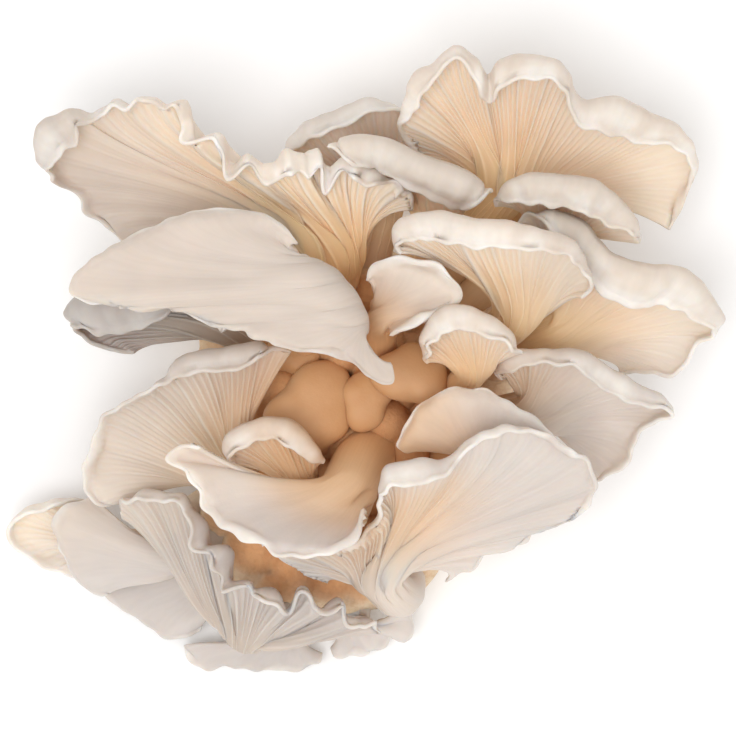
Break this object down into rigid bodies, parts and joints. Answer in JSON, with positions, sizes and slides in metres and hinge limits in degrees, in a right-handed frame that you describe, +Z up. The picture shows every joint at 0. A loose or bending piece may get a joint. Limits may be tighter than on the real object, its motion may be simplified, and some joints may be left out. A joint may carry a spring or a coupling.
{
  "type": "oyster mushroom cluster",
  "caption": "Cluster of oyster mushrooms: fan-shaped caps with waved, rolled rims and raised gills on stems that leave one flat-cut butt.",
  "frame": {"origin": "centre of the butt's flat cut face, on which the cluster lies", "axes": "+Z up, away from the cut face; +X to the right and +Y to the back as the picture shows the cluster, looking straight down"},
  "size_m": [0.2177, 0.1887, 0.0842],
  "materials": {
    "butt": null,
    "button_back": "soft dull cream mushroom flesh",
    "button_left": "soft dull cream mushroom flesh",
    "button_middle": "soft dull cream mushroom flesh",
    "button_right": "soft dull cream mushroom flesh",
    "cap_back": "soft dull cream mushroom flesh",
    "cap_back_left": "soft dull cream mushroom flesh",
    "cap_centre": "soft dull cream mushroom flesh",
    "cap_far_right": "soft dull cream mushroom flesh",
    "cap_front": "soft dull cream mushroom flesh",
    "cap_front_bottom": "soft dull cream mushroom flesh",
    "cap_front_left": "soft dull cream mushroom flesh",
    "cap_front_right": "soft dull cream mushroom flesh",
    "cap_left": "soft dull cream mushroom flesh",
    "cap_left_under": "soft dull cream mushroom flesh",
    "cap_lower_right": "soft dull cream mushroom flesh",
    "cap_pit_right": "soft dull cream mushroom flesh",
    "cap_right": "soft dull cream mushroom flesh",
    "cap_top": "soft dull cream mushroom flesh",
    "cap_upper_middle": "soft dull cream mushroom flesh",
    "cap_upper_right": "soft dull cream mushroom flesh",
    "lobe_far_left": "soft dull cream mushroom flesh",
    "lobe_front": "soft dull cream mushroom flesh",
    "lobe_front_left": "soft dull cream mushroom flesh",
    "lobe_front_right": "soft dull cream mushroom flesh",
    "lobe_left": "soft dull cream mushroom flesh",
    "young_front": "soft dull cream mushroom flesh",
    "young_right": "soft dull cream mushroom flesh"
  },
  "bodies": {
    "root": {"butt": "butt", "button_back": "button_back", "button_left": "button_left", "button_middle": "button_middle", "button_right": "button_right", "cap_back": "cap_back", "cap_back_left": "cap_back_left", "cap_centre": "cap_centre", "cap_far_right": "cap_far_right", "cap_front": "cap_front", "cap_front_bottom": "cap_front_bottom", "cap_front_left": "cap_front_left", "cap_front_right": "cap_front_right", "cap_left": "cap_left", "cap_left_under": "cap_left_under", "cap_lower_right": "cap_lower_right", "cap_pit_right": "cap_pit_right", "cap_right": "cap_right", "cap_top": "cap_top", "cap_upper_middle": "cap_upper_middle", "cap_upper_right": "cap_upper_right", "lobe_far_left": "lobe_far_left", "lobe_front": "lobe_front", "lobe_front_left": "lobe_front_left", "lobe_front_right": "lobe_front_right", "lobe_left": "lobe_left", "young_front": "young_front", "young_right": "young_right"}
  },
  "joints": []
}
